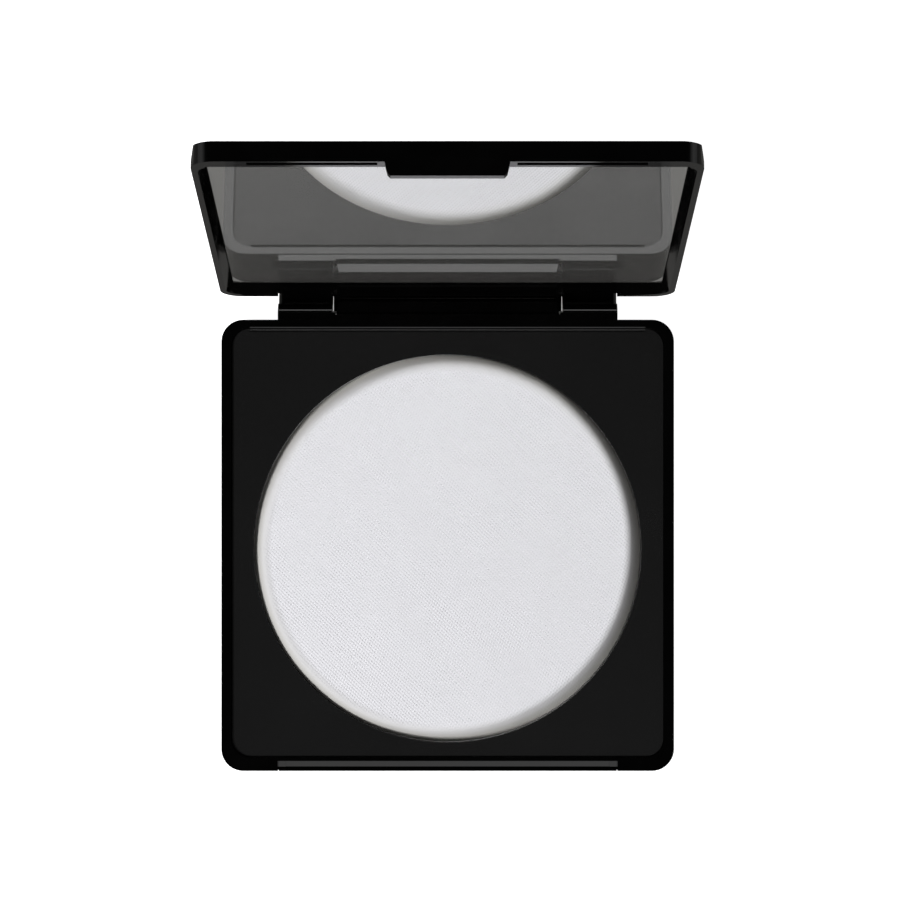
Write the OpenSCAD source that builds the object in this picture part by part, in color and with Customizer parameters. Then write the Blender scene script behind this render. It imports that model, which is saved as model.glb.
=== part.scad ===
// Square pressed powder compact with a hinged mirror lid.
// Origin: centre of the base's underside. +Z up, +Y towards the hinge, +X to the right.
// Every part of the lid is drawn closed and then swung open about the hinge pins.

/* [Base] */
// Width of the case, side to side
case_w = 68.2; // [68.2:0.5:74.2]
// Depth of the case, front to hinge
case_d = 68.0; // [68:0.5:73]
// Height of the base up to its rim
base_h = 9.0; // [8.6:0.1:11]
// Corner radius of the case in plan
corner_r = 3.3; // [2.4:0.1:5]
// Thickness of the base floor
floor_t = 1.2; // [1:0.1:1.6]

/* [Insert plate] */
// Rim left on each side of the plate
side_rim = 1.45; // [1.25:0.05:1.75]
// Rim left behind the plate
rear_rim = 1.25; // [1.1:0.05:1.4]
// Rim left in front of the plate
front_rim = 2.05; // [1.95:0.05:2.2]
// Gap between the plate and the rim
seam = 0.1; // [0.06:0.01:0.16]
// How far the plate sits below the rim
plate_drop = 0.5; // [0.4:0.1:0.7]
// Thickness of the plate
plate_t = 1.0; // [0.8:0.1:1.1]
// Diameter of the opening over the powder
opening_d = 58.5; // [58:0.1:58.5]
// Front to back place of the opening's centre
opening_y = -0.5; // [-0.5:0.1:0]

/* [Powder] */
// Outer diameter of the metal pan
pan_d = 59.0; // [59:0.1:59.2]
// Height of the pan
pan_h = 4.1; // [3.6:0.1:4.1]
// Wall thickness of the pan
pan_t = 0.3; // [0.25:0.05:0.4]
// Level of the powder's edge below the pan's lip
cake_drop = 0.2; // [0:0.05:0.6]
// Radius that rounds the powder's top into its flank
cake_round = 1.8; // [0.8:0.1:2]
// Slope of the flank
cake_slope = 42; // [30:1:45]
// Width of the round and the flank together
shoulder_w = 2.45; // [2:0.05:2.6]

/* [Lid] */
// Thickness of the lid
lid_t = 2.85; // [2.8:0.05:3.4]
// Angle the lid stands open
lid_open = 102.69; // [0:0.01:115]
// How much wider the lid is than the base, at its rim
lid_over = 0.3; // [0:0.1:0.4]
// Rim width at the lid's sides
lid_side_rim = 0.85; // [0.75:0.05:1]
// Rim width at the lid's front
lid_front_rim = 2.4; // [2.1:0.05:2.5]
// Rim width at the lid's rear
lid_rear_rim = 1.2; // [1:0.05:1.4]
// Depth from the lid's rim to the mirror's face
mirror_depth = 1.0; // [0.9:0.05:1.1]
// Width of the mirror
mirror_w = 64.5; // [62:0.1:64.7]
// Length of the mirror
mirror_l = 61.2; // [59:0.1:61.2]
// Thickness of the mirror glass
mirror_t = 1.0; // [0.8:0.1:1]
// Thickness of the adhesive sheet behind the mirror
tape_t = 0.1; // [0.05:0.05:0.1]

/* [Hinge] */
// Radius of the hinge pins
pin_r = 0.75; // [0.6:0.05:0.8]
// Running clearance of the pins in the lid's arms
pin_gap = 0.05; // [0.02:0.01:0.08]
// Radius of the knuckle at the end of each arm
knuckle_r = 1.9; // [1.8:0.05:1.9]
// Inner side of each arm, from the middle
arm_in = 17.4; // [17.4:0.1:18]
// Outer side of each arm, from the middle
arm_out = 25.65; // [23:0.05:26]

/* [Latch] */
// Width of the tab at the lid
tab_w = 16.7; // [14:0.1:18]
// Length of the tab below the lid's rim
tab_l = 1.95; // [1.5:0.05:2]
// Thickness of the tab
tab_t = 1.3; // [1.1:0.05:1.3]
// Half width of the finger scoop in the base's front rim
scoop_x = 25.6; // [20:0.1:27]

/* [Hidden] */
$fn = 96;
overlap = 0.01;  // how far joined parts run into each other
past = 1;        // how far cutting shapes run past what they cut
sides = [-1, 1]; // left and right
front_y = -case_d / 2;
rear_y = case_d / 2;

// Hinge
hinge_y = rear_y + 0.65;
hinge_z = base_h - 2.85;
root_y = rear_y - 0.6;     // rear parts start here, inside the rear wall
block_r = 2.75;            // middle hinge block, inside the sweep of the lid's rear edge
block_top = 1.9;           // its level top, above the hinge axis
block_x = 16.95;           // its half width at the wall
ledge_y = rear_y + 1.10;   // rear ledge over the arms
ledge_x = 25.6;
ledge_z = base_h - 0.15;
pocket_r = knuckle_r + 0.1;
arm_gap = 0.2;             // from the inner side of an arm to the end of its hollow
bore_in = 11.8;            // inner end of the pin bores, from the middle
web_y = hinge_y + 0.55;    // front face of the arms' webs, closed

// Plate, and the cavity under it
plate_z = base_h - plate_drop - plate_t; // underside of the plate
plate_top = plate_z + plate_t;
plate_w = case_w - 2 * side_rim - 2 * seam;
plate_front = front_y + front_rim + seam;
plate_rear = rear_y - rear_rim - seam;
plate_r = corner_r - 0.6;
shoulder = 1.1;            // width of the step that carries the plate
cavity_w = case_w - 2 * side_rim - 2 * shoulder;
cavity_front = front_y + front_rim + shoulder;
cavity_rear = rear_y - rear_rim - shoulder;
boss_inset = 5.6;
boss_x = case_w / 2 - boss_inset;
boss_y = case_d / 2 - boss_inset;
crease_x = 29.8;           // half length of the lines along the rear edge of the plate

// Pan
well_r = pan_d / 2 + 0.15;      // ring that locates the pan
seat_z = plate_z - pan_h - 0.3; // top of the ribs under the pan
rib_radii = [8, 18];
rib_half = 0.5;            // half thickness of the round ribs
glue_t = 0.15;
pan_z = seat_z + glue_t;
label_r = 12.3;

// Front of the case
scoop_d = 1.5;             // depth of the finger scoop, front to back
scoop_z = base_h - 2.7;    // level of the scoop's lip
lip = 0.25;                // how far the ledge under the scoop stands out
bead_z = base_h - 1.25;
bead_x = 6;                // half length of the tab's bead

// Lid, closed
lid_gap = 0.05;            // the lid's rim stands this far off the base's rim
lid_z = base_h + lid_gap;  // plane of the lid's rim
lid_top = lid_z + lid_t;
lid_w = case_w + lid_over;
lid_draft = 0.4;           // each side of the lid leans in by this much towards its top
recess_w = lid_w - 2 * lid_side_rim;
recess_front = front_y + lid_front_rim;
recess_rear = rear_y - lid_rear_rim;
mirror_gap = 0.1;          // gap round the mirror in its pocket
mirror_front = recess_front + mirror_gap;
mirror_rear = mirror_front + mirror_l;
mirror_z = lid_z + mirror_depth; // the mirror's face
tape_z = mirror_z + mirror_t;
skin = 0.005;              // gap on each face of the tape and the glue

// ---- shared shapes: x, y and z ranges are [from, to] ----

// Range from inner to outer on the right (side 1), reflected on the left (side -1)
function on_side(side, inner, outer) = side > 0 ? [inner, outer] : [-outer, -inner];

// Closes a symmetric outline from the points of its right half
function both_sides(half) =
    concat([for (p = half) [-p[0], p[1]]], [for (i = [len(half) - 1:-1:0]) half[i]]);

// Rectangle with round corners, centred in X
module plan(w, y, r) {
    translate([-w / 2 + r, y[0]]) square([w - 2 * r, y[1] - y[0]]);
    translate([-w / 2, y[0] + r]) square([w, y[1] - y[0] - 2 * r]);
    for (cx = [-w / 2 + r, w / 2 - r], cy = [y[0] + r, y[1] - r])
        translate([cx, cy]) circle(r = r);
}

module slab(w, y, r, z) {
    translate([0, 0, z[0]]) linear_extrude(height = z[1] - z[0]) plan(w, y, r);
}

module block(x, y, z) {
    translate([x[0], y[0], z[0]]) cube([x[1] - x[0], y[1] - y[0], z[1] - z[0]]);
}

// Flat profile in Y and Z, carried along X
module across(x) {
    translate([x[0], 0, 0]) rotate([90, 0, 90]) linear_extrude(height = x[1] - x[0]) children();
}

// Section in X and Z, carried from front to back
module along(y) {
    translate([0, y[1], 0]) rotate([90, 0, 0]) linear_extrude(height = y[1] - y[0]) children();
}

// Cylinder on a line along X
module rod(x, y, z, r) {
    translate([x[0], y, z]) rotate([0, 90, 0]) cylinder(r = r, h = x[1] - x[0]);
}

module at_bosses(z) {
    for (x = [-boss_x, boss_x], y = [-boss_y, boss_y]) translate([x, y, z]) children();
}

// Swings the lid's parts from closed to where it stands
module swung() {
    translate([0, hinge_y, hinge_z]) rotate([-lid_open, 0, 0])
        translate([0, -hinge_y, -hinge_z]) children();
}

// ---- base ----

// Middle block of the hinge: a flat-topped barrel on the rear wall,
// its ends drawn in towards the rear
module hinge_block() {
    end_x = 16.3; // half width at the rear
    intersection() {
        across([-18, 18]) intersection() {
            union() {
                translate([hinge_y, hinge_z]) circle(r = block_r);
                translate([root_y, hinge_z - block_r]) square([hinge_y - root_y, 2 * block_r]);
            }
            translate([rear_y - past, hinge_z - block_r - past])
                square([5, block_r + block_top + past]);
        }
        translate([0, 0, 1]) linear_extrude(height = base_h)
            polygon(both_sides([[block_x, rear_y - past], [block_x, rear_y + 0.4],
                                [end_x, hinge_y + block_r + 0.1]]));
    }
}

// Foot under the middle block. It reaches back under the lid's rear edge and nearly to the arms
module hinge_foot() {
    foot_x = arm_in - 0.1;
    block([-foot_x, foot_x], [root_y, hinge_y + 3.45], [hinge_z - block_r, hinge_z - 1.2]);
}

// Ledge over the arms, joined across the middle
module rear_ledge() {
    middle_x = block_x + 0.05;
    for (side = sides)
        block(on_side(side, block_x, ledge_x), [root_y, ledge_y], [hinge_z, ledge_z]);
    block([-middle_x, middle_x], [root_y, rear_y + 0.8], [hinge_z, ledge_z]);
}

// Hollows for the arms' knuckles, open behind and at the outer ends
module knuckle_hollows() {
    for (side = sides) {
        x = on_side(side, arm_in - arm_gap, ledge_x + past);
        rod(x, hinge_y, hinge_z, pocket_r);
        block(x, [hinge_y, ledge_y + past], [hinge_z - 1, hinge_z + pocket_r * 0.5]);
    }
}

// Two round ribs that the pan stands on, tied together by lower straight ones
module pan_ribs() {
    tie_x = well_r + 0.2;
    tie_half = 0.45;
    for (r = rib_radii)
        translate([0, opening_y, floor_t - overlap]) difference() {
            cylinder(r = r + rib_half, h = seat_z - floor_t + overlap);
            translate([0, 0, -past]) cylinder(r = r - rib_half, h = seat_z + 2 * past);
        }
    for (a = [0, 60, 120])
        translate([0, opening_y, 0]) rotate([0, 0, a])
            block([-tie_x, tie_x], [-tie_half, tie_half], [floor_t - overlap, seat_z - 0.6]);
}

module pan_ring() {
    translate([0, opening_y, floor_t - overlap]) difference() {
        cylinder(r = well_r + 0.9, h = plate_z - 0.4 - floor_t);
        translate([0, 0, -past]) cylinder(r = well_r, h = base_h);
    }
}

// Section of the finger scoop, its floor raised by up: a slope, then a narrow level lip
module scoop_profile(up) {
    back_y = front_y + scoop_d;
    polygon([[back_y, base_h + 0.5], [back_y, base_h - 1.85 + up],
             [front_y + 0.45, scoop_z + up], [front_y - 0.5, scoop_z + up],
             [front_y - 0.5, base_h + 0.5]]);
}

// Sloping scoop that clears the lid's tab, with a shallow step at each end
module finger_scoop() {
    step_x = scoop_x - 1.1;
    across([-scoop_x, scoop_x]) scoop_profile(0.3);
    across([-step_x, step_x]) scoop_profile(0);
}

// Thumb ledge on the front wall, level with the lip of the scoop
module thumb_ledge() {
    across([-scoop_x, scoop_x])
        polygon([[front_y + 0.5, base_h - 6], [front_y - lip, base_h - 4.4],
                 [front_y - lip, scoop_z], [front_y + 0.5, scoop_z]]);
}

// Chamfer on the inner edge of the rear rim
module rim_chamfer() {
    inner_y = rear_y - rear_rim;
    across([-crease_x, crease_x])
        polygon([[inner_y - 0.02, base_h - 0.17], [inner_y - 0.02, base_h + 0.1],
                 [inner_y + 0.25, base_h + 0.1]]);
}

// Walls and floor, with the seat of the plate and the cavity below it
module case_body() {
    difference() {
        slab(case_w, [front_y, rear_y], corner_r, [0, base_h]);
        slab(plate_w + 2 * seam, [plate_front - seam, plate_rear + seam], plate_r + seam,
             [plate_z, base_h + past]);
        slab(cavity_w, [cavity_front, cavity_rear], corner_r - 1.3, [floor_t, base_h + past]);
    }
}

module base_shell() {
    color([0.012, 0.012, 0.013])
    union() {
        hinge_foot();
        thumb_ledge();
        difference() {
            union() {
                case_body();
                pan_ring();
                pan_ribs();
                at_bosses(floor_t - overlap) cylinder(r = 1.9, h = plate_z - 0.3 - floor_t);
                rear_ledge();
                hinge_block();
            }
            // bores of the corner bosses
            at_bosses(floor_t + 1.6) cylinder(r = 0.95, h = base_h);
            knuckle_hollows();
            // bores that hold the pins
            for (side = sides) rod(on_side(side, bore_in, arm_in), hinge_y, hinge_z, pin_r);
            finger_scoop();
            // groove for the tab's bead
            rod([-bead_x - 0.2, bead_x + 0.2], front_y + scoop_d, bead_z, 0.3);
            rim_chamfer();
            // sunk seat of the label
            translate([0, 0, -past]) cylinder(r = label_r + 0.2, h = past + 0.3);
        }
    }
}

module insert_plate() {
    peg_l = 3.2;
    color([0.02, 0.02, 0.021])
    union() {
        difference() {
            slab(plate_w, [plate_front, plate_rear], plate_r, [plate_z, plate_top]);
            translate([0, opening_y, 0]) cylinder(r = opening_d / 2, h = base_h + past);
            // fine groove along the rear edge
            translate([0, 0, plate_top]) across([-crease_x, crease_x])
                polygon([[plate_rear - 0.12, 0.02], [plate_rear - 0.27, -0.13],
                         [plate_rear - 0.45, 0.02]]);
        }
        // pegs that go into the base's corner bosses
        at_bosses(plate_z - peg_l) cylinder(r = 0.9, h = peg_l + overlap);
    }
}

// ---- powder ----

module powder_pan() {
    outer_r = pan_d / 2;
    color([0.75, 0.75, 0.76])
    translate([0, opening_y, pan_z]) rotate_extrude()
        polygon([[0, 0], [outer_r - 0.6, 0], [outer_r, 0.6], [outer_r, pan_h],
                 [outer_r - pan_t, pan_h], [outer_r - pan_t, 0.75],
                 [outer_r - 0.75, pan_t], [0, pan_t]]);
}

// Pressed flat on top with a faint dome, then rounded over into a flank that slopes
// down to the pan
module powder_cake() {
    cake_r = pan_d / 2 - pan_t - 0.02;
    top_r = cake_r - shoulder_w;
    flank_w = shoulder_w - cake_round * sin(cake_slope);
    edge_z = pan_h - cake_drop;
    top_z = edge_z + flank_w * tan(cake_slope) + cake_round * (1 - cos(cake_slope));
    steps = 10;
    color([0.82, 0.82, 0.84])
    translate([0, opening_y, pan_z]) rotate_extrude()
        polygon(concat(
            [[0, pan_t + 0.01], [cake_r - 0.5, pan_t + 0.01], [cake_r, 0.8], [cake_r, edge_z]],
            [for (i = [steps:-1:1]) [top_r + cake_round * sin(cake_slope * i / steps),
                                     top_z - cake_round * (1 - cos(cake_slope * i / steps))]],
            [[top_r, top_z], [cake_r - 8, top_z + 0.05], [cake_r - 18, top_z + 0.09],
             [0, top_z + 0.1]]));
}

// Three dabs on the outer round rib
module pan_glue() {
    color([0.85, 0.83, 0.76])
    for (a = [30, 150, 270])
        translate([0, opening_y, 0]) rotate([0, 0, a]) translate([rib_radii[1], 0, seat_z + skin])
            cylinder(r = 2.2, h = glue_t - 2 * skin);
}

module base_label() {
    color([0.8, 0.8, 0.8])
    translate([0, 0, 0.1]) cylinder(r = label_r, h = 0.2);
}

// ---- lid ----

// One hinge arm, drawn closed: a knuckle round the pin and a web that climbs behind
// the ledge to the lid
module arm_profile() {
    round_r = 0.7; // rounds the top rear corner
    round_z = lid_top - round_r;
    thick_z = hinge_z + 1.3; // the web is thicker from here up
    difference() {
        union() {
            translate([hinge_y, hinge_z]) circle(r = knuckle_r);
            translate([web_y, hinge_z]) square([knuckle_r - 0.55, round_z - hinge_z]);
            translate([web_y, thick_z]) square([1.95, round_z - thick_z]);
            translate([rear_y - 1.4, mirror_z]) square([1.4 + 0.65 + 1.8, lid_t - mirror_depth]);
            translate([hinge_y + 1.8, round_z]) circle(r = round_r);
        }
        translate([hinge_y, hinge_z]) circle(r = pin_r + pin_gap);
    }
}

// Cutter that rounds a long edge of an arm, on the face that shows when the lid is open.
// side is the way the edge faces: 1 right, -1 left.
module arm_edge(x, side, r) {
    edge_z = hinge_z + 2.0;
    translate([x, web_y, edge_z]) difference() {
        translate([side > 0 ? -r : -0.1, -0.1, 0]) cube([r + 0.1, r + 0.1, mirror_z - edge_z]);
        translate([-side * r, r, -past]) cylinder(r = r, h = 12);
    }
}

module arm() {
    difference() {
        across([arm_in, arm_out]) arm_profile();
        arm_edge(arm_out, 1, 1.0);
        arm_edge(arm_in, -1, 0.6);
    }
}

// Recess inside the lid's rim: its border slopes down to the mirror at the sides and the rear
module lid_recess() {
    pocket_x = mirror_w / 2 + mirror_gap;
    pocket_rear = mirror_rear + mirror_gap;
    below_z = lid_z - 1.5;
    intersection() {
        slab(recess_w, [recess_front, recess_rear], corner_r - 0.8,
             [lid_z - past, mirror_z + overlap]);
        along([front_y - past, rear_y + past])
            polygon(both_sides([[recess_w / 2, below_z], [recess_w / 2, lid_z],
                                [pocket_x, mirror_z], [pocket_x, mirror_z + past]]));
        across([-case_w, case_w])
            polygon([[front_y, below_z], [front_y, mirror_z + past],
                     [pocket_rear, mirror_z + past], [pocket_rear, mirror_z],
                     [recess_rear, lid_z], [recess_rear, below_z]]);
    }
}

module lid_body() {
    rim_x = lid_w / 2 + 0.01;
    top_x = lid_w / 2 - lid_draft;
    pocket_x = mirror_w / 2 + mirror_gap;
    difference() {
        intersection() {
            slab(lid_w, [front_y, rear_y], corner_r, [lid_z, lid_top]);
            along([front_y - past, rear_y + past])
                polygon(both_sides([[rim_x, lid_z - past], [rim_x, lid_z + 0.6],
                                    [top_x, lid_top], [top_x, lid_top + past]]));
        }
        lid_recess();
        // pocket of the mirror and its tape
        block([-pocket_x, pocket_x], [mirror_front - mirror_gap, mirror_rear + mirror_gap],
              [lid_z - past, tape_z + tape_t]);
        // relief of the rear rim where the arms leave it
        for (side = sides)
            block(on_side(side, arm_in, arm_out), [recess_rear - 0.3, rear_y + past],
                  [lid_z - past, mirror_z]);
        // shallow grooves in the front rim
        for (side = sides)
            block(on_side(side, 9.3, 26.7), [front_y + 0.45, front_y + 1.6],
                  [lid_z - past, lid_z + 0.3]);
    }
}

// Tab that drops in front of the base, narrower at its tip, with a bead along its inner face
module tab() {
    half = tab_w / 2;
    tip_z = lid_z - tab_l;
    along([front_y, front_y + tab_t])
        polygon(both_sides([[half, lid_z + 0.5], [half - 0.05, lid_z - 0.2],
                            [half - 0.4, tip_z + 0.4], [half - 0.8, tip_z]]));
    rod([-bead_x, bead_x], front_y + tab_t - 0.05, bead_z, 0.2);
}

module lid_shell() {
    color([0.012, 0.012, 0.013])
    swung() union() {
        lid_body();
        tab();
        arm();
        mirror([1, 0, 0]) arm();
    }
}

module lid_mirror() {
    color([0.8, 0.8, 0.82])
    swung() block([-mirror_w / 2, mirror_w / 2], [mirror_front, mirror_rear], [mirror_z, tape_z]);
}

module mirror_tape() {
    inset = 2; // from the mirror's edge to the tape's
    tape_x = mirror_w / 2 - inset;
    color([0.9, 0.9, 0.86])
    swung() block([-tape_x, tape_x], [mirror_front + inset, mirror_rear - inset],
                  [tape_z + skin, tape_z + tape_t - skin]);
}

// ---- hinge pins ----

module hinge_pin(side) {
    color([0.7, 0.7, 0.72])
    rod(on_side(side, bore_in + 0.2, arm_out - 0.3), hinge_y, hinge_z, pin_r);
}

base_shell();
insert_plate();
powder_pan();
powder_cake();
pan_glue();
base_label();
lid_shell();
lid_mirror();  // mirror
mirror_tape();
hinge_pin(-1);  // hinge_pin_left
hinge_pin(1);  // hinge_pin_right
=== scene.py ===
"""A mirrored powder compact: glossy black base and lid, satin plate and a pan of pressed powder.

It rests on white paper at z = 0 and the camera looks straight down on it, with +Y up the picture.
The front is -Y. Scene units are metres; sizes marked mm are multiplied by MM.
"""
import math
from functools import cached_property

import bmesh
import bpy
import numpy as np
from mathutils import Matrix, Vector

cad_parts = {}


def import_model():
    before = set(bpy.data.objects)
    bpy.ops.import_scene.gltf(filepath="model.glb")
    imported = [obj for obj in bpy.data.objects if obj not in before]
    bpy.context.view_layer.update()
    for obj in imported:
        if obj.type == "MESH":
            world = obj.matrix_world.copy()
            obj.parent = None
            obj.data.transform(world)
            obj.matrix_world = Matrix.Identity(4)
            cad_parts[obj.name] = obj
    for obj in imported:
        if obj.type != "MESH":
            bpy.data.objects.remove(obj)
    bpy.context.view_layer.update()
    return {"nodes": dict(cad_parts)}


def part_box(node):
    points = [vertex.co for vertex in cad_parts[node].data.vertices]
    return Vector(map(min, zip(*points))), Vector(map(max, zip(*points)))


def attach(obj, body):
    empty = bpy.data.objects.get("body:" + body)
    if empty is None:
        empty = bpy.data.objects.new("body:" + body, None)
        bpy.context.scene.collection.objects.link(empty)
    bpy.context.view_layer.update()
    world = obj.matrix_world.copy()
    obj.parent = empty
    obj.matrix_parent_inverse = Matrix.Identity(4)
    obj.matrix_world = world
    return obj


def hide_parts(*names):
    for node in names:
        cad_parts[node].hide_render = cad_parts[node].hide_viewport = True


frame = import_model()
MM = 0.001
scene = bpy.context.scene


# ---------------------------------------------------------------- node helpers

class Graph:
    """A cleared node tree with its output node, and short ways to add to it."""

    def __init__(self, owner, output):
        owner.use_nodes = True
        self.tree = owner.node_tree
        self.tree.nodes.clear()
        self.out = self.node(output)

    def put(self, socket, value):
        """Links a socket to another one, or gives it a plain value."""
        if hasattr(value, "node"):
            self.tree.links.new(value, socket)
        else:
            socket.default_value = value

    def node(self, kind, *inputs, **settings):
        """Adds a node, filling its first inputs in order."""
        node = self.tree.nodes.new("ShaderNode" + kind)
        for name, value in settings.items():
            setattr(node, name, value)
        for socket, value in zip(node.inputs, inputs):
            self.put(socket, value)
        return node

    def fill(self, node, **inputs):
        """Fills inputs by name, with _ standing for a space."""
        for name, value in inputs.items():
            self.put(node.inputs[name.replace("_", " ")], value)
        return node

    def maths(self, operation, *values):
        return self.node("Math", *values, operation=operation).outputs[0]

    def choose(self, factor, at_zero, at_one):
        """Mixes two shaders."""
        return self.node("MixShader", factor, at_zero, at_one).outputs[0]

    def finish(self, shader):
        self.put(self.out.inputs[0], shader)


class Mat(Graph):
    """A material built round a Principled shader. Pattern sizes and bump distances are in mm."""

    def __init__(self, name):
        self.material = bpy.data.materials.new(name)
        super().__init__(self.material, "OutputMaterial")
        self.principled = self.node("BsdfPrincipled")
        self.finish(self.principled.outputs[0])

    @cached_property
    def coord(self):
        return self.node("TexCoord").outputs["Object"]

    def set(self, **inputs):
        self.fill(self.principled, **inputs)

    def noise(self, size, detail=2.0, rough=0.5, stretch=None):
        source = self.coord
        if stretch:
            source = self.fill(self.node("Mapping", source), Scale=stretch).outputs[0]
        node = self.node("TexNoise")
        self.fill(node, Scale=1000.0 / size, Detail=detail, Roughness=rough, Vector=source)
        return node.outputs[0]

    def add(self, a, b):
        return self.maths("ADD", a, b, 0.0)

    def times(self, a, b):
        return self.maths("MULTIPLY", a, b, 0.0)

    def vary(self, base, pattern, amount):
        """base + pattern * amount"""
        return self.add(base, self.times(pattern, amount))

    def remap(self, value, span, to=(0.0, 1.0)):
        return self.node("MapRange", value, *span, *to, clamp=True).outputs[0]

    def mix(self, factor, at_zero, at_one):
        """Mixes two colours, which are inputs 6 and 7 of the node."""
        node = self.node("Mix", factor, data_type="RGBA")
        self.put(node.inputs[6], at_zero)
        self.put(node.inputs[7], at_one)
        return node.outputs[2]

    def bump(self, height, strength, distance, **normal):
        node = self.node("Bump")
        self.fill(node, Strength=strength, Distance=distance * MM, Height=height, **normal)
        return node.outputs[0]


def grey(value, blue=1.0):
    return (value, value, value * blue, 1.0)


# ---------------------------------------------------------------- materials

def case_gloss():
    """High-gloss black moulding: faint flow, hairline scratches and a few soft smudges."""
    m = Mat("case_gloss")
    smudge = m.remap(m.noise(size=9.0, detail=3.0, rough=0.6), span=(0.45, 0.75))
    hair_x = m.remap(m.noise(size=0.5, rough=0.6, stretch=(0.06, 1.0, 1.0)), span=(0.60, 0.72))
    hair_y = m.remap(m.noise(size=0.45, rough=0.6, stretch=(1.0, 0.05, 1.0)), span=(0.62, 0.74))
    rough = m.vary(0.07, smudge, amount=0.035)
    rough = m.vary(rough, m.add(hair_x, hair_y), amount=0.02)
    flow = m.bump(m.noise(size=2.6), strength=0.10, distance=0.012)
    fine = m.bump(m.noise(size=0.22), strength=0.05, distance=0.004, Normal=flow)
    m.set(Base_Color=m.mix(smudge, grey(0.0007), grey(0.0012)), Roughness=rough, Normal=fine,
          IOR=1.49)
    return m.material


def plate_satin():
    """Satin black plate with a fine spark-eroded grain."""
    m = Mat("plate_satin")
    grain = m.noise(size=0.16, detail=3.0, rough=0.65)
    broad = m.remap(m.noise(size=14.0), span=(0.35, 0.7))
    rough = m.vary(m.vary(0.20, broad, amount=0.04), grain, amount=0.06)
    m.set(Base_Color=m.mix(grain, grey(0.0064), grey(0.0086)), Roughness=rough,
          Normal=m.bump(grain, strength=0.22, distance=0.02), IOR=1.46)
    return m.material


def pan_metal():
    """Drawn aluminium with fine bands stacked in height, from forming."""
    m = Mat("pan_metal")
    rings = m.noise(size=0.35, stretch=(0.05, 0.05, 1.0))
    m.set(Base_Color=m.mix(m.noise(size=3.0), grey(0.50), grey(0.62, blue=1.01)), Metallic=1.0,
          Roughness=m.vary(0.30, rings, amount=0.16),
          Normal=m.bump(rings, strength=0.2, distance=0.02))
    return m.material


def powder():
    """Pressed talc: matte, faintly cool, with the grain of milled powder and soft mottling."""
    m = Mat("powder")
    grain = m.noise(size=0.075, detail=3.0, rough=0.7)
    clump = m.noise(size=0.32, rough=0.6)
    mottle = m.remap(m.noise(size=7.0, detail=3.0, rough=0.55), span=(0.35, 0.68))
    colour = m.mix(mottle, (0.730, 0.726, 0.756, 1), (0.742, 0.738, 0.768, 1))
    clumped = m.remap(clump, span=(0.55, 0.8), to=(0.0, 0.35))
    colour = m.mix(clumped, colour, (0.70, 0.695, 0.725, 1))
    # painted shade: the shoulder and flank are coloured darker than the face, in two steps outwards
    # from the centre, standing in for the shade that falls where the cake drops away beside the rim
    centre = (0, -0.5 * MM, 0)
    level = m.node("VectorMath", m.coord, (1, 1, 0), operation="MULTIPLY").outputs[0]
    radius = m.node("VectorMath", level, centre, operation="DISTANCE").outputs["Value"]
    colour = m.mix(m.remap(radius, span=(0.0266, 0.0284)), colour, (0.54, 0.533, 0.525, 1))
    colour = m.mix(m.remap(radius, span=(0.0279, 0.0290)), colour, (0.43, 0.42, 0.395, 1))
    height = m.vary(m.times(grain, 0.6), clump, amount=0.4)
    m.set(Base_Color=colour, Roughness=0.95, Normal=m.bump(height, strength=0.30, distance=0.02),
          Specular_IOR_Level=0.25, Sheen_Weight=0.06, Sheen_Roughness=0.6)
    return m.material


def mirror_glass():
    """Silvered glass: almost perfectly smooth, under a thin diffuse veil of haze."""
    m = Mat("mirror_glass")
    veil_share = 0.07
    haze = m.remap(m.noise(size=6.0, detail=3.0, rough=0.6), span=(0.5, 0.8))
    m.set(Base_Color=(0.88, 0.885, 0.885, 1), Metallic=1.0,
          Roughness=m.vary(0.012, haze, amount=0.012))
    veil = m.node("BsdfDiffuse", m.mix(haze, (0.60, 0.59, 0.56, 1), (0.72, 0.71, 0.68, 1)))
    m.finish(m.choose(veil_share, m.principled.outputs[0], veil.outputs[0]))
    return m.material


def adhesive():
    """Cream glue and tape."""
    m = Mat("adhesive")
    lumps = m.noise(size=0.8, detail=3.0)
    m.set(Base_Color=m.mix(lumps, (0.72, 0.69, 0.60, 1), (0.80, 0.78, 0.70, 1)),
          Roughness=m.vary(0.35, lumps, amount=0.2),
          Normal=m.bump(lumps, strength=0.3, distance=0.05))
    return m.material


def pin_steel():
    """Steel with a grain along X."""
    m = Mat("pin_steel")
    grain = m.noise(size=0.18, stretch=(0.03, 1.0, 1.0))
    m.set(Base_Color=m.mix(grain, grey(0.46), grey(0.58)), Metallic=1.0,
          Roughness=m.vary(0.22, grain, amount=0.18),
          Normal=m.bump(grain, strength=0.25, distance=0.01))
    return m.material


def label_film():
    """Pale grey film."""
    m = Mat("label_film")
    grain = m.noise(size=0.12)
    m.set(Base_Color=m.mix(grain, grey(0.60), grey(0.66)),
          Roughness=m.vary(0.42, grain, amount=0.12),
          Normal=m.bump(grain, strength=0.2, distance=0.01))
    return m.material


MATERIALS = {build.__name__: build() for build in (
    case_gloss, plate_satin, pan_metal, powder, mirror_glass, adhesive, pin_steel, label_film)}


# ---------------------------------------------------------------- CAD nodes that stay

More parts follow.
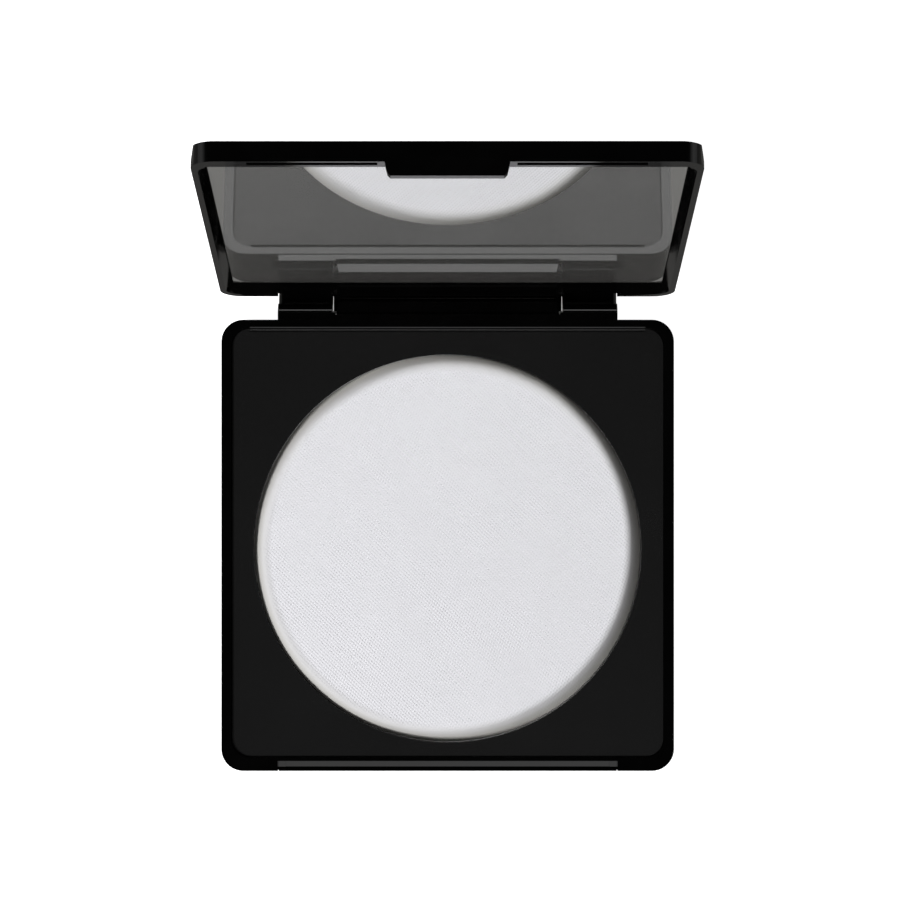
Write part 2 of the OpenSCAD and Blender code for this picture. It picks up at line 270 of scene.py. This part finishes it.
# node, material, edge rounding in mm (0 leaves edges sharp), segments of the rounding
DRESSED = [
    ("base_shell", "case_gloss", 0.12, 3),
    ("lid_shell", "case_gloss", 0.12, 3),
    ("insert_plate", "plate_satin", 0.14, 4),
    ("powder_pan", "pan_metal", 0.05, 2),
    ("mirror", "mirror_glass", 0.08, 2),
    ("mirror_tape", "adhesive", 0.0, 0),
    ("pan_glue", "adhesive", 0.05, 2),
    ("base_label", "label_film", 0.03, 2),
    ("hinge_pin_left", "pin_steel", 0.15, 2),
    ("hinge_pin_right", "pin_steel", 0.15, 2),
]
WELD_DISTANCE = 2e-7
FLAT_ANGLE = math.radians(0.5)    # faces closer to level than this are merged
EDGE_ANGLE = math.radians(32)     # edges sharper than this are rounded


def round_edges(obj, width, segments):
    """Merges flat faces, rounds the sharp edges and evens out the shading."""
    flat = obj.modifiers.new("flat", "DECIMATE")
    flat.decimate_type = "DISSOLVE"
    flat.angle_limit = FLAT_ANGLE
    bevel = obj.modifiers.new("round", "BEVEL")
    bevel.width = width * MM
    bevel.segments = segments
    bevel.limit_method = "ANGLE"
    bevel.angle_limit = EDGE_ANGLE
    bevel.use_clamp_overlap = True
    bevel.miter_outer = "MITER_ARC"
    bevel.harden_normals = True
    normals = obj.modifiers.new("normals", "WEIGHTED_NORMAL")
    normals.keep_sharp = True
    normals.weight = 80


def dress(node, material, rounding, segments):
    """Gives a CAD node its material and modifiers. Its own vertices stay as they are."""
    obj = frame["nodes"][node]
    mesh = obj.data
    mesh.materials.clear()
    mesh.materials.append(MATERIALS[material])
    for face in mesh.polygons:
        face.material_index = 0
        face.use_smooth = True
    if "custom_normal" in mesh.attributes:
        mesh.attributes.remove(mesh.attributes["custom_normal"])
    obj.modifiers.new("weld", "WELD").merge_threshold = WELD_DISTANCE
    if rounding:
        round_edges(obj, rounding, segments)


for row in DRESSED:
    dress(*row)


# ---------------------------------------------------------------- powder cake, in mm

GRID_STEPS = 600
DOME_RISE = 0.10                  # centre of the face above its edge
SHOULDER_WIDTH = 2.45             # from the edge of the face to the rim
SHOULDER_ROUND = 1.6              # radius where the face turns into the flank
FLANK_SLOPE = math.radians(49)
WEAVE_DEPTH = 0.0250
WEAVE_PEAK = 2.8                  # close to the highest value of weave()

# how far the pressed edge strays outwards, every 30 degrees from +X
STRAY_STEP = 30
STRAY = [-0.15, 0.35, 0.85, 0.5, -0.3, -0.05, 0.45, 0.65, 0.5, -0.25, -0.55, -0.25, -0.15]

# rings from the rim down: offset from the rim radius, height above the underside
SIDE_RINGS = [(0.0, 2.2), (0.0, 0.7), (-0.12, 0.35), (-0.5, 0.0)]


def lattice(x, y, seed):
    """Hashes whole-number points to numbers in 0..1, the same every run."""
    x_prime, y_prime, seed_prime, stir_prime = 374761393, 668265263, 1442695041, 1274126177
    mask = 0xFFFFFFFF
    h = (x.astype(np.int64) * x_prime + y.astype(np.int64) * y_prime + seed * seed_prime) & mask
    h = ((h ^ (h >> 13)) * stir_prime) & mask
    h = (h ^ (h >> 16)) & mask
    return h / 4294967295.0


def value_noise(x, y, seed):
    """Smoothly joined lattice values, in 0..1."""
    xi, yi = np.floor(x), np.floor(y)
    fx, fy = x - xi, y - yi
    fx, fy = fx * fx * (3 - 2 * fx), fy * fy * (3 - 2 * fy)
    near = lattice(xi, yi, seed) * (1 - fx) + lattice(xi + 1, yi, seed) * fx
    far = lattice(xi, yi + 1, seed) * (1 - fx) + lattice(xi + 1, yi + 1, seed) * fx
    return near * (1 - fy) + far * fy


def smooth(t):
    t = np.clip(t, 0, 1)
    return t * t * (3 - 2 * t)


def weave(x, y):
    """Plain-weave cloth at 45 degrees: ribs, crossing threads, alternate threads offset."""
    rib_x, rib_y = 1.707, 1.732            # waves per mm
    thread_x, thread_y = 1.601, -1.681
    rib = 2 * math.pi * (rib_x * x + rib_y * y)
    thread = 2 * math.pi * (thread_x * x + thread_y * y)
    return (np.cos(rib) + 0.58 * np.cos(thread + rib / 2)
            + 0.75 * np.cos(thread) + 0.50 * np.cos(thread - rib / 2))


def disc_grid(steps):
    """A square grid bent into a unit disc with even quads, as signed radius and angle."""
    line = np.linspace(-1, 1, steps + 1)
    gx, gy = np.meshgrid(line, line, indexing="ij")
    quarter = math.pi / 4
    # both branches are worked out everywhere, so the unused one may divide by zero
    with np.errstate(divide="ignore", invalid="ignore"):
        wide = np.abs(gx) >= np.abs(gy)
        radius = np.where(wide, gx, gy)
        angle = np.where(wide, quarter * np.where(gx != 0, gy / gx, 0),
                         (math.pi / 2) - quarter * np.where(gy != 0, gx / gy, 0))
    return radius, angle


def cake_top(x, y, radius, centre, rim_radius, top):
    """Height of the top surface; x and y are measured from the centre."""
    angle = np.arctan2(y, x)
    face_radius = rim_radius - SHOULDER_WIDTH
    # the face rounds over into a steep flank, and both wander as a pressed edge does
    wander = value_noise(angle * 9 + 40, np.full_like(radius, 3.0), 5) - 0.5
    stray = np.interp(np.degrees(angle) % 360, np.arange(0, 361, STRAY_STEP), STRAY)
    past = np.clip(radius - (face_radius + 0.06 * wander + stray), 0, None)
    bend = SHOULDER_ROUND * math.sin(FLANK_SLOPE)
    over = np.clip(past, 0, bend)
    drop = (SHOULDER_ROUND - np.sqrt(SHOULDER_ROUND ** 2 - over ** 2)
            + np.clip(past - bend, 0, None) * math.tan(FLANK_SLOPE))
    z = top - DOME_RISE * (np.clip(radius, 0, face_radius) / face_radius) ** 2 - drop

    # cloth print, uneven over the face and fading at the shoulder
    fade = 1 - 0.75 * smooth((radius - (face_radius - 0.3)) / 1.6)
    uneven = value_noise((x + 40) / 5.0, (y + 40) / 5.0, 7) - 0.5
    depth = WEAVE_DEPTH * (1 + 0.25 * uneven)
    z += depth * (weave(x + centre[0], y + centre[1]) - WEAVE_PEAK) * fade

    # ripples on the shoulder and small pits all over, deeper on the shoulder
    outwards = (radius - face_radius) / SHOULDER_WIDTH
    ripple = value_noise(angle * 42 + 90, radius * 0.8, 6) - 0.5
    pits = value_noise((x + 50) / 0.33, (y + 50) / 0.33, 8)
    z += (0.02 * ripple * smooth(outwards * 3)
          - 0.006 * pits * (0.4 + 0.6 * smooth(outwards * 2)))
    return np.minimum(z, top)


def cake_geometry():
    """Vertices in mm, quads, and the triangles that close the underside."""
    lo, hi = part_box("powder_cake")
    centre = ((lo.x + hi.x) / 2 / MM, (lo.y + hi.y) / 2 / MM)
    rim_radius = (hi.x - lo.x) / 2 / MM
    bottom, top = lo.z / MM, hi.z / MM

    signed, turn = disc_grid(GRID_STEPS)
    x = signed * np.cos(turn) * rim_radius
    y = signed * np.sin(turn) * rim_radius
    z = cake_top(x, y, np.abs(signed) * rim_radius, centre, rim_radius, top)
    surface = np.stack([x + centre[0], y + centre[1], z], -1).reshape(-1, 3)
    index = np.arange(len(surface)).reshape(x.shape)
    corners = [index[:-1, :-1], index[1:, :-1], index[1:, 1:], index[:-1, 1:]]
    verts, quads = [surface], [np.stack(corners, -1).reshape(-1, 4)]

    # side wall, foot radius and underside
    loop = np.concatenate([index[:-1, 0], index[-1, :-1], index[:0:-1, -1], index[0, :0:-1]])
    outward = surface[loop][:, :2] - centre
    outward = outward / np.linalg.norm(outward, axis=1, keepdims=True)
    count = len(surface)
    for offset, height in SIDE_RINGS:
        ring_xy = outward * (rim_radius + offset) + centre
        verts.append(np.concatenate([ring_xy, np.full((len(loop), 1), bottom + height)], 1))
        ring = np.arange(count, count + len(loop))
        quads.append(np.stack([loop, ring, np.roll(ring, -1), np.roll(loop, -1)], -1))
        count += len(loop)
        loop = ring
    verts.append(np.array([[*centre, bottom]]))
    tris = np.stack([loop, np.full(len(loop), count), np.roll(loop, -1)], -1)
    return np.concatenate(verts), np.concatenate(quads), tris


def powder_cake():
    verts, quads, tris = cake_geometry()
    mesh = bpy.data.meshes.new("powder_cake_surface")
    mesh.vertices.add(len(verts))
    mesh.vertices.foreach_set("co", (verts * MM).astype(np.float32).ravel())
    corners = np.concatenate([quads.ravel(), tris.ravel()]).astype(np.int32)
    mesh.loops.add(len(corners))
    mesh.loops.foreach_set("vertex_index", corners)
    starts = np.concatenate([np.arange(len(quads)) * 4, quads.size + np.arange(len(tris)) * 3])
    mesh.polygons.add(len(starts))
    mesh.polygons.foreach_set("loop_start", starts.astype(np.int32))
    mesh.update(calc_edges=True)
    mesh.validate()
    mesh.shade_smooth()
    obj = bpy.data.objects.new("powder_cake_surface", mesh)
    scene.collection.objects.link(obj)
    bm = bmesh.new()
    bm.from_mesh(mesh)
    bmesh.ops.recalc_face_normals(bm, faces=bm.faces)
    bm.to_mesh(mesh)
    bm.free()
    mesh.materials.append(MATERIALS["powder"])
    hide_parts("powder_cake")
    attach(obj, "base")


powder_cake()


# ---------------------------------------------------------------- floor

FLOOR_HALF = 3.0
FLOOR_Z = -0.00002                # just under the compact
FLOOR_GLOW = (0.45, 0.97)         # added glow, from slanting to straight-down view
FLOOR_IN_GLOSS = 0.15
FADE_RADII = (0.25, 0.95)         # where the paper starts and ends its fade into the room
FADED = 0.90


def floor_paper():
    """White paper. Glossy surfaces see it as a dim warm grey, and from below it isn't there."""
    m = Mat("floor_paper")
    m.set(Base_Color=(0.86, 0.86, 0.86, 1), Roughness=0.9, Specular_IOR_Level=0.0)
    paper = m.principled.outputs[0]
    path = m.node("LightPath").outputs
    geometry = m.node("NewGeometry").outputs

    def glow(strength, colour=(1, 1, 1, 1)):
        return m.fill(m.node("Emission"), Color=colour, Strength=strength).outputs[0]

    height = m.node("SeparateXYZ", geometry["Incoming"]).outputs[2]
    facing = m.maths("ABSOLUTE", height, 0.0, 0.0)
    lit = m.node("AddShader", paper, glow(m.remap(facing, span=(0.75, 0.97), to=FLOOR_GLOW)))
    # far from the object the paper fades into the pale room, so no horizon shows
    far = m.node("VectorMath", geometry["Position"], operation="LENGTH").outputs["Value"]
    to_camera = m.choose(m.remap(far, span=FADE_RADII), lit.outputs[0], glow(FADED))
    seen = m.choose(path["Is Camera Ray"], paper, to_camera)
    in_gloss = glow(FLOOR_IN_GLOSS, colour=(1.0, 0.985, 0.95, 1))
    seen = m.choose(path["Is Glossy Ray"], seen, in_gloss)
    clear = m.node("BsdfTransparent").outputs[0]
    m.finish(m.choose(geometry["Backfacing"], seen, clear))
    return m.material


def floor():
    s = FLOOR_HALF
    mesh = bpy.data.meshes.new("floor")
    mesh.from_pydata([(-s, -s, 0), (s, -s, 0), (s, s, 0), (-s, s, 0)], [], [(0, 1, 2, 3)])
    obj = bpy.data.objects.new("floor", mesh)
    obj.location.z = FLOOR_Z
    scene.collection.objects.link(obj)
    mesh.materials.append(floor_paper())


floor()


# ---------------------------------------------------------------- world

# brightness stops: upward part of the view direction (0 horizon, 1 overhead), grey level
SOFT_DOME = [(0.0, 0.8), (0.5, 1.0), (1.0, 0.9)]
GLOSS_BAND = [(0.0, 0.8), (0.30, 1.1), (0.46, 0.5), (0.58, 0.05), (0.7, 0.010), (1.0, 0.003)]
PALE_ROOM = [(0.0, 0.90), (1.0, 0.92)]
DOME_STRENGTH = 0.22
SIDE_LOSS = -0.6                  # change in the gloss band's strength towards -X and +X


def world():
    """A pale room to the camera, a soft dome as diffuse light, a low band and dark sky to gloss."""
    studio = bpy.data.worlds.new("studio")
    scene.world = studio
    g = Graph(studio, "OutputWorld")
    incoming = g.node("SeparateXYZ", g.node("NewGeometry").outputs["Incoming"]).outputs
    up = g.maths("MULTIPLY", incoming[2], -1.0)

    def background(stops, strength):
        ramp = g.node("ValToRGB", up)
        elements = ramp.color_ramp.elements
        for element, (position, level) in zip(elements, (stops[0], stops[-1])):
            element.position = position
            element.color = grey(level)
        for position, level in stops[1:-1]:
            elements.new(position).color = grey(level)
        return g.node("Background", ramp.outputs[0], strength).outputs[0]

    side = g.maths("MULTIPLY", incoming[0], incoming[0])
    band_strength = g.maths("MULTIPLY_ADD", side, SIDE_LOSS, 1.0)
    path = g.node("LightPath").outputs
    seen = g.choose(path["Is Glossy Ray"], background(SOFT_DOME, DOME_STRENGTH),
                    background(GLOSS_BAND, band_strength))
    g.finish(g.choose(path["Is Camera Ray"], seen, background(PALE_ROOM, 1.0)))


world()


# ---------------------------------------------------------------- lights, camera, render

def area(name, at, target, size, radiance, diffuse=True, glossy=True):
    """A rectangular light, hidden from the camera, given by how bright its face is."""
    light = bpy.data.lights.new(name, "AREA")
    light.shape = "RECTANGLE"
    light.size, light.size_y = size
    light.energy = radiance * math.pi * light.size * light.size_y
    obj = bpy.data.objects.new(name, light)
    obj.location = at
    obj.rotation_mode = "QUATERNION"
    obj.rotation_quaternion = (Vector(target) - Vector(at)).to_track_quat("-Z", "Y")
    obj.visible_camera = False
    obj.visible_diffuse = diffuse
    obj.visible_glossy = glossy
    scene.collection.objects.link(obj)


area("key", at=(-0.732, -0.373, 0.912), target=(0, 0, 0.005), size=(0.40, 0.40),
     radiance=32.6, glossy=False)
area("front_card", at=(0.0, -0.62, 1.04), target=(0, 0.01, 0.005), size=(0.95, 0.28),
     radiance=3.0, diffuse=False)


def camera():
    """A long lens, looking straight down."""
    data = bpy.data.cameras.new("camera")
    data.lens = 139.0
    data.sensor_width = 36.0
    data.clip_start = 0.01
    data.clip_end = 20
    obj = bpy.data.objects.new("camera", data)
    obj.location = (0.28 * MM, 14.44 * MM, 532.0 * MM)
    scene.collection.objects.link(obj)
    scene.camera = obj


camera()
scene.view_settings.view_transform = "Standard"
scene.view_settings.look = "None"
scene.view_settings.exposure = 0.0
scene.view_settings.gamma = 1.0
scene.cycles.max_bounces = 10
scene.cycles.use_denoising = True
